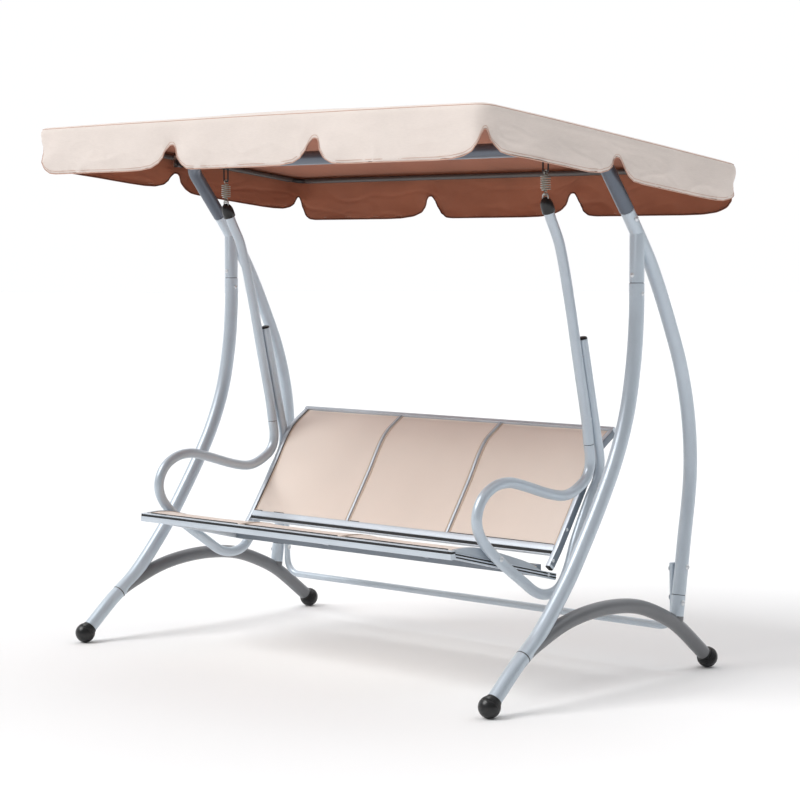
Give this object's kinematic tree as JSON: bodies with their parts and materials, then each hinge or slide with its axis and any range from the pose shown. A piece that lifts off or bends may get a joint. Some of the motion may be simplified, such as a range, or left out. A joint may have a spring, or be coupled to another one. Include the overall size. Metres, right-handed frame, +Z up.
{
  "type": "canopy swing bench",
  "caption": "Garden swing bench with sling seat and back, loop armrests, curved tube stand with ball feet, and a tilting scalloped fabric canopy.",
  "frame": {"origin": "centre of the overall box in plan (which is the canopy's), at the ground plane under the ball feet", "axes": "+X to the sitter's left, which is the viewer's right from the front; the open front faces -Y; +Z up"},
  "size_m": [1.943, 1.2, 1.7212],
  "materials": {
    "paint": "satin powder coat",
    "dark_paint": "satin powder coat",
    "black_steel": "satin",
    "black_plastic": "matte",
    "steel": "galvanised",
    "sling": "open woven",
    "cover": "plain woven"
  },
  "bodies": {
    "stand": {"base_arch_left": "paint", "base_arch_right": "paint", "foot_front_left": "black_plastic", "foot_front_right": "black_plastic", "foot_rear_left": "black_plastic", "foot_rear_right": "black_plastic", "front_leg_left": "paint", "front_leg_right": "paint", "leg_bolt_left": "steel", "leg_bolt_right": "steel", "lower_brace_left": "paint", "lower_brace_right": "paint", "rear_leg_left": "paint", "rear_leg_right": "paint", "spring_eye_left": "black_steel", "spring_eye_right": "black_steel", "top_crossbar": "dark_paint"},
    "springs": {"spring_left": "steel", "spring_right": "steel"},
    "bench": {"armrest_loop_left": "paint", "armrest_loop_right": "paint", "back_bolt_left": "steel", "back_bolt_right": "steel", "back_divider_left": "paint", "back_divider_right": "paint", "back_lower_rail": "paint", "back_side_rail_left": "paint", "back_side_rail_right": "paint", "back_sling_left": "sling", "back_sling_middle": "sling", "back_sling_right": "sling", "back_top_rail": "paint", "hanger_bolt_left": "steel", "hanger_bolt_right": "steel", "hanger_cap_left": "black_plastic", "hanger_cap_right": "black_plastic", "hanger_left": "paint", "hanger_right": "paint", "loop_plug_left": "black_plastic", "loop_plug_right": "black_plastic", "seat_bolt_left": "steel", "seat_bolt_right": "steel", "seat_divider_left": "paint", "seat_divider_right": "paint", "seat_front_rail": "paint", "seat_rear_rail": "paint", "seat_side_rail_left": "paint", "seat_side_rail_right": "paint", "seat_sling_left": "sling", "seat_sling_middle": "sling", "seat_sling_right": "sling"},
    "canopy": {"canopy_cover": "cover", "canopy_tube_front": "paint", "canopy_tube_left": "paint", "canopy_tube_rear": "paint", "canopy_tube_right": "paint", "tilt_bracket_left": "steel", "tilt_bracket_right": "steel"},
    "knob_left": {"tilt_knob_left": "black_plastic"},
    "knob_right": {"tilt_knob_right": "black_plastic"}
  },
  "joints": [
    {"name": "spring_stretch", "type": "slide", "parent": "stand", "child": "springs", "axis": [0, 0, -1], "range_m": [-0.003, 0.02], "stiffness_N_per_m": 20000, "springref_m": -0.00425, "deforming": ["spring_left", "spring_right"]},
    {"name": "bench_swing", "type": "hinge", "parent": "springs", "child": "bench", "pos_m": [0, -0.012, 1.464], "axis": [1, 0, 0], "range_deg": [-15, 15]},
    {"name": "canopy_tilt", "type": "hinge", "parent": "stand", "child": "canopy", "pos_m": [0, -0.012, 1.597], "axis": [1, 0, 0], "range_deg": [-12, 12]},
    {"name": "knob_left_turn", "type": "hinge", "parent": "stand", "child": "knob_left", "pos_m": [-0.9245, -0.012, 1.597], "axis": [1, 0, 0], "continuous": true},
    {"name": "knob_right_turn", "type": "hinge", "parent": "stand", "child": "knob_right", "pos_m": [0.9245, -0.012, 1.597], "axis": [1, 0, 0], "continuous": true}
  ]
}
